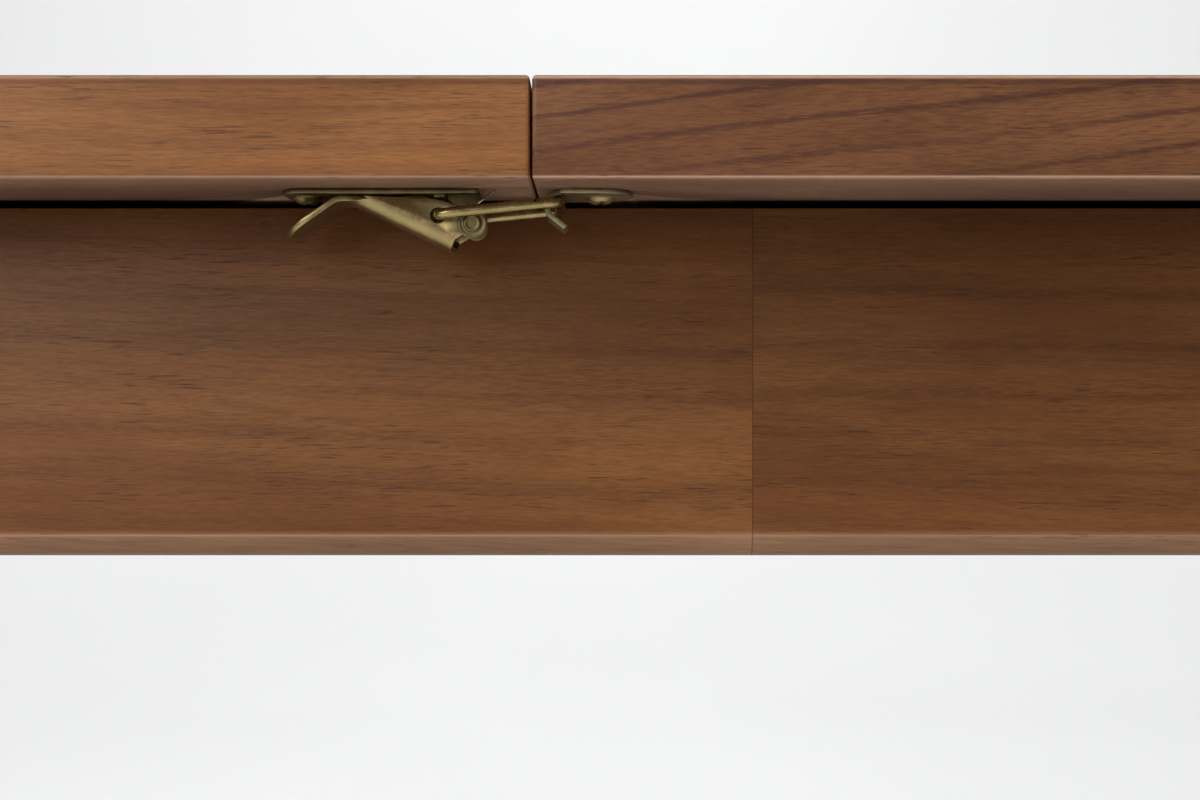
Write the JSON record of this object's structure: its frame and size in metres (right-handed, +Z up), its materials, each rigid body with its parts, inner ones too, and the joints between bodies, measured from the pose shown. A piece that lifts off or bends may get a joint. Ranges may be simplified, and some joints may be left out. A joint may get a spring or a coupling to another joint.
{
  "type": "extending dining table",
  "caption": "Dining table on a leg-and-apron frame whose top halves slide apart for a stored leaf and are drawn together by hooked lever latches under the edges.",
  "frame": {"origin": "on the floor, under the middle of the closed table", "axes": "+X along the table's length, to the right seen from the front; +Y from front to back; +Z up"},
  "size_m": [1.2, 0.8, 0.75],
  "materials": {
    "top_wood": "satin stained hardwood",
    "frame_wood": "satin stained hardwood",
    "inner_wood": "plain planed hardwood",
    "latch_metal": "worn satin plating",
    "latch_screws": "worn plating",
    "frame_steel": "zinc plated",
    "glide_plastic": "moulded"
  },
  "bodies": {
    "frame": {"apron_front": "frame_wood", "apron_back": "frame_wood", "apron_left": "frame_wood", "apron_right": "frame_wood", "leg_front_left": "frame_wood", "leg_front_right": "frame_wood", "leg_back_left": "frame_wood", "leg_back_right": "frame_wood", "corner_block_front_left": "inner_wood", "corner_block_front_right": "inner_wood", "corner_block_back_left": "inner_wood", "corner_block_back_right": "inner_wood", "hanger_bolts": "frame_steel", "bolt_washers": "frame_steel", "bolt_nuts": "frame_steel", "block_screws": "frame_steel", "foot_glides": "glide_plastic", "slide_pads": "glide_plastic", "guide_rail_front": "inner_wood", "guide_rail_back": "inner_wood", "cross_rail_left": "inner_wood", "cross_rail_right": "inner_wood", "rail_screws": "frame_steel"},
    "left_half": {"top_left": "top_wood", "runner_left_front": "inner_wood", "runner_left_back": "inner_wood", "runner_screws_left": "frame_steel", "latch_screws": "latch_screws", "latch_plate_front": "latch_metal", "latch_plate_back": "latch_metal", "latch_rivet_front": "latch_metal", "latch_rivet_back": "latch_metal"},
    "right_half": {"top_right": "top_wood", "runner_right_front": "inner_wood", "runner_right_back": "inner_wood", "runner_screws_right": "frame_steel", "strike_screws": "latch_screws", "strike_plate_front": "latch_metal", "strike_plate_back": "latch_metal", "alignment_dowels": "inner_wood"},
    "leaf": {"leaf_panel": "top_wood", "leaf_dowels": "inner_wood", "leaf_latch_screws": "latch_screws", "leaf_strike_screws": "latch_screws", "leaf_latch_plate_front": "latch_metal", "leaf_latch_plate_back": "latch_metal", "leaf_latch_rivet_front": "latch_metal", "leaf_latch_rivet_back": "latch_metal", "leaf_strike_plate_front": "latch_metal", "leaf_strike_plate_back": "latch_metal"},
    "lever_front": {"latch_lever_front": "latch_metal"},
    "bail_front": {"latch_bail_front": "latch_metal"},
    "lever_back": {"latch_lever_back": "latch_metal"},
    "bail_back": {"latch_bail_back": "latch_metal"},
    "leaf_lever_front": {"leaf_latch_lever_front": "latch_metal"},
    "leaf_bail_front": {"leaf_latch_bail_front": "latch_metal"},
    "leaf_lever_back": {"leaf_latch_lever_back": "latch_metal"},
    "leaf_bail_back": {"leaf_latch_bail_back": "latch_metal"}
  },
  "joints": [
    {"name": "left_slide", "type": "slide", "parent": "frame", "child": "left_half", "axis": [-1, 0, 0], "range_m": [0, 0.29]},
    {"name": "right_slide", "type": "slide", "parent": "frame", "child": "right_half", "axis": [1, 0, 0], "range_m": [0, 0.29]},
    {"name": "leaf_lift", "type": "slide", "parent": "frame", "child": "leaf", "axis": [0, 0, 1], "range_m": [0, 0.018]},
    {"name": "lever_front_turn", "type": "hinge", "parent": "left_half", "child": "lever_front", "pos_m": [-0.01335, -0.3767, 0.7205], "axis": [0, -1, 0], "range_deg": [0, 110]},
    {"name": "bail_front_turn", "type": "hinge", "parent": "lever_front", "child": "bail_front", "pos_m": [-0.0206, -0.3767, 0.7223], "axis": [0, -1, 0], "range_deg": [-95, 0]},
    {"name": "lever_back_turn", "type": "hinge", "parent": "left_half", "child": "lever_back", "pos_m": [-0.01335, 0.3767, 0.7205], "axis": [0, -1, 0], "range_deg": [0, 110]},
    {"name": "bail_back_turn", "type": "hinge", "parent": "lever_back", "child": "bail_back", "pos_m": [-0.0206, 0.3767, 0.7223], "axis": [0, -1, 0], "range_deg": [-95, 0]},
    {"name": "leaf_lever_front_turn", "type": "hinge", "parent": "leaf", "child": "leaf_lever_front", "pos_m": [0.3767, 0.26685, 0.6765], "axis": [1, 0, 0], "range_deg": [0, 110]},
    {"name": "leaf_bail_front_turn", "type": "hinge", "parent": "leaf_lever_front", "child": "leaf_bail_front", "pos_m": [0.3767, 0.2596, 0.6783], "axis": [1, 0, 0], "range_deg": [-95, 0]},
    {"name": "leaf_lever_back_turn", "type": "hinge", "parent": "leaf", "child": "leaf_lever_back", "pos_m": [-0.3767, 0.26685, 0.6765], "axis": [1, 0, 0], "range_deg": [0, 110]},
    {"name": "leaf_bail_back_turn", "type": "hinge", "parent": "leaf_lever_back", "child": "leaf_bail_back", "pos_m": [-0.3767, 0.2596, 0.6783], "axis": [1, 0, 0], "range_deg": [-95, 0]}
  ],
  "couplings": [
    {"joint": "bail_front_turn", "follows": "lever_front_turn", "ratio": -0.84},
    {"joint": "bail_back_turn", "follows": "lever_back_turn", "ratio": -0.84},
    {"joint": "leaf_bail_front_turn", "follows": "leaf_lever_front_turn", "ratio": -0.84},
    {"joint": "leaf_bail_back_turn", "follows": "leaf_lever_back_turn", "ratio": -0.84}
  ]
}
